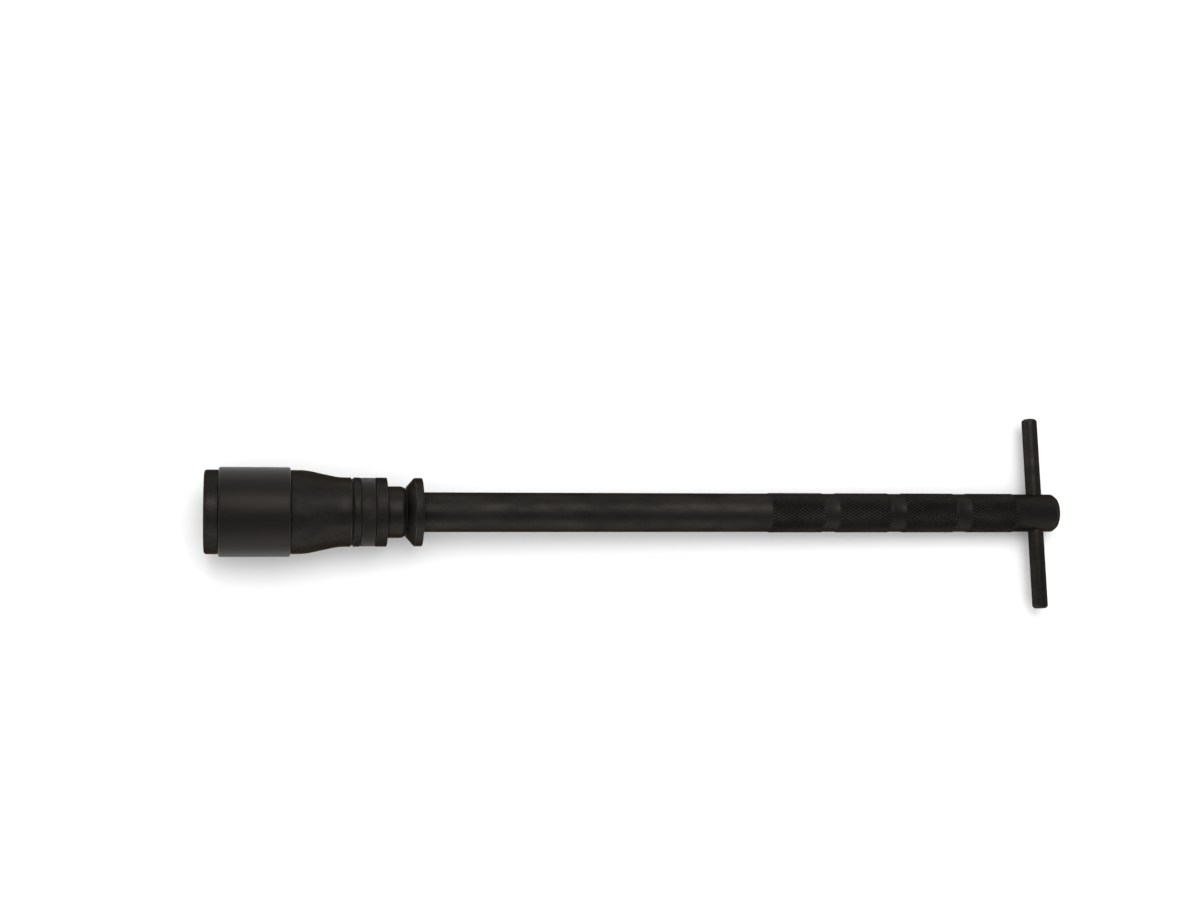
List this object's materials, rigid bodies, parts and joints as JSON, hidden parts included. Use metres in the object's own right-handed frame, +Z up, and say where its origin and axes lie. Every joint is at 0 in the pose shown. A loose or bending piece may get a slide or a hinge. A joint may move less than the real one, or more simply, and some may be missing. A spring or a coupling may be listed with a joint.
{
  "type": "breaker bar",
  "caption": "Half-inch drive breaker bar with knurled grip, sliding T-bar, pull-back collar over a ball-locked square drive, and a deep hexagon socket in a plastic sleeve.",
  "frame": {"origin": "on the ground plane z = 0 under the middle of the tool's length and width", "axes": "+X along the bar from the socket's mouth to the T-bar's end, +Z up, the T-bar along Y; the bar's axis is level, 19.4 mm above the ground"},
  "size_m": [0.39, 0.089, 0.0388],
  "materials": {
    "bar_steel": "satin black oxide",
    "t_bar_steel": "satin black oxide",
    "collar_steel": "satin black oxide",
    "socket_steel": "satin black oxide",
    "screw_steel": "black oxide",
    "clip_steel": "phosphated",
    "spring_steel": "drawn wire",
    "bright_steel": "ground",
    "sleeve_plastic": "matte",
    "ring_rubber": "matte"
  },
  "bodies": {
    "tool": {"bar": "bar_steel", "socket": "socket_steel", "rubber_ring": "ring_rubber", "front_clip": "clip_steel", "rear_clip": "clip_steel", "collar_spring": "spring_steel", "friction_ball": "bright_steel", "friction_spring": "spring_steel", "end_screw": "screw_steel"},
    "collar": {"collar": "collar_steel", "release_rod": "bright_steel", "cross_pin": "bright_steel", "spring_washer": "bright_steel"},
    "locking_ball": {"locking_ball": "bright_steel"},
    "t_bar": {"t_bar": "t_bar_steel"},
    "sleeve": {"protective_sleeve": "sleeve_plastic"}
  },
  "joints": [
    {"name": "t_bar_slide", "type": "slide", "parent": "tool", "child": "t_bar", "axis": [0, 1, 0], "range_m": [-0.033, 0.033]},
    {"name": "collar_slide", "type": "slide", "parent": "tool", "child": "collar", "axis": [1, 0, 0], "range_m": [0, 0.003], "stiffness_N_per_m": 1200, "springref_m": -0.003, "deforming": ["collar_spring"]},
    {"name": "ball_lift", "type": "slide", "parent": "tool", "child": "locking_ball", "axis": [0, 0, 1], "range_m": [-0.0012, 0]},
    {"name": "sleeve_spin", "type": "hinge", "parent": "tool", "child": "sleeve", "pos_m": [-0.17365, 0, 0.0194], "axis": [1, 0, 0], "continuous": true}
  ],
  "couplings": [
    {"joint": "ball_lift", "follows": "collar_slide", "ratio": -0.4}
  ]
}
